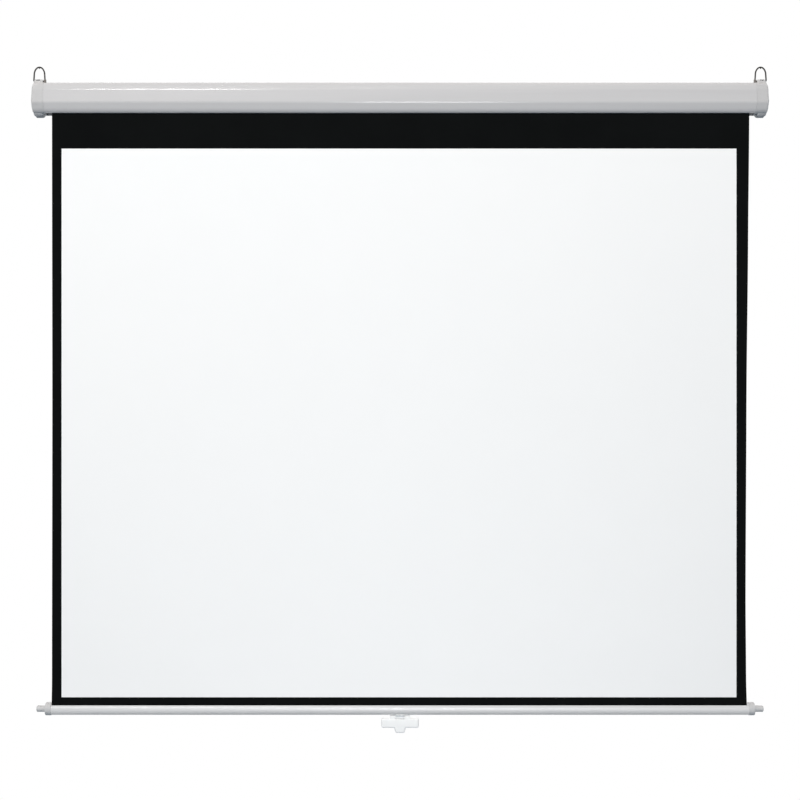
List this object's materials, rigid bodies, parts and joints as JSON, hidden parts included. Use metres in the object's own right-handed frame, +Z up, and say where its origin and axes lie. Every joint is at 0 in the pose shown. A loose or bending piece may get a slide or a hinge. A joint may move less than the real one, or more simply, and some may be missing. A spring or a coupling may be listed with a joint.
{
  "type": "wall-mounted projector screen",
  "caption": "Pull-down projector screen: a slotted case with domed end caps, spring roller, bordered fabric, round bottom bar with end pins, pull handle and wire hanging loops.",
  "frame": {"origin": "middle of the housing's flat rear face, on the plane of the wall", "axes": "+X along the housing towards the viewer's right, +Y into the wall, +Z up; the fabric hangs down along -Z and its white side faces -Y"},
  "size_m": [1.8784, 0.062, 1.7053],
  "materials": {
    "case_paint": "off-white satin enamel",
    "cap_plastic": "off-white fine-grained moulding",
    "dark_wire": "dark plated wire",
    "bar_aluminium": "satin anodised",
    "bar_plastic": "light grey moulding",
    "handle_plastic": "white satin moulding",
    "screen_fabric": "matt white viewing area with black borders, black behind",
    "roller_steel": "galvanised tube",
    "spring_steel": "oiled spring wire",
    "nylon": "natural nylon",
    "zinc_steel": "bright zinc plate"
  },
  "bodies": {
    "housing": {"housing_shell": "case_paint", "end_cap_left": "cap_plastic", "end_cap_right": "cap_plastic", "cap_screw_left_1": "zinc_steel", "cap_screw_left_2": "zinc_steel", "cap_screw_left_3": "zinc_steel", "cap_screw_left_4": "zinc_steel", "cap_screw_right_1": "zinc_steel", "cap_screw_right_2": "zinc_steel", "cap_screw_right_3": "zinc_steel", "cap_screw_right_4": "zinc_steel", "idle_bush": "nylon", "spring_shaft": "zinc_steel", "ratchet_disc": "zinc_steel", "return_spring": "spring_steel", "spring_anchor": "nylon", "shaft_clip": "zinc_steel", "screen_fabric": "screen_fabric"},
    "roller": {"roller_tube": "roller_steel", "fabric_wrap": "screen_fabric", "idle_plug": "nylon", "drive_plug": "nylon"},
    "pawl_upper": {"lock_pawl_upper": "zinc_steel"},
    "pawl_lower": {"lock_pawl_lower": "zinc_steel"},
    "bottom_bar": {"bottom_bar": "bar_aluminium", "hem_rod": "nylon", "bar_end_left": "bar_plastic", "bar_end_right": "bar_plastic", "handle_bracket": "handle_plastic", "bracket_screw_1": "zinc_steel", "bracket_screw_2": "zinc_steel", "handle_pin": "zinc_steel"},
    "pull_handle": {"pull_handle": "handle_plastic"},
    "hanging_loop_left": {"hanging_loop_left": "dark_wire"},
    "hanging_loop_right": {"hanging_loop_right": "dark_wire"}
  },
  "joints": [
    {"name": "bar_travel", "type": "slide", "parent": "housing", "child": "bottom_bar", "axis": [0, 0, 1], "range_m": [0, 1.5086], "deforming": ["screen_fabric"]},
    {"name": "roller_turn", "type": "hinge", "parent": "housing", "child": "roller", "pos_m": [0, -0.027, -0.0045], "axis": [-1, 0, 0], "range_deg": [0, 4681], "deforming": ["return_spring"]},
    {"name": "pawl_upper_swing", "type": "hinge", "parent": "roller", "child": "pawl_upper", "pos_m": [-0.8989, -0.027, 0.0071], "axis": [-1, 0, 0], "range_deg": [0, 12]},
    {"name": "pawl_lower_swing", "type": "hinge", "parent": "roller", "child": "pawl_lower", "pos_m": [-0.8989, -0.027, -0.0161], "axis": [-1, 0, 0], "range_deg": [0, 12]},
    {"name": "handle_swing", "type": "hinge", "parent": "bottom_bar", "child": "pull_handle", "pos_m": [0, -0.0333, -1.5896], "axis": [1, 0, 0], "range_deg": [-80, 45]},
    {"name": "loop_left_fold", "type": "hinge", "parent": "housing", "child": "hanging_loop_left", "pos_m": [-0.9232, -0.031, 0.037], "axis": [1, 0, 0], "range_deg": [-50, 90]},
    {"name": "loop_right_fold", "type": "hinge", "parent": "housing", "child": "hanging_loop_right", "pos_m": [0.9232, -0.031, 0.037], "axis": [1, 0, 0], "range_deg": [-50, 90]}
  ],
  "couplings": [
    {"joint": "roller_turn", "follows": "bar_travel", "rad_per_m": 54.144}
  ]
}
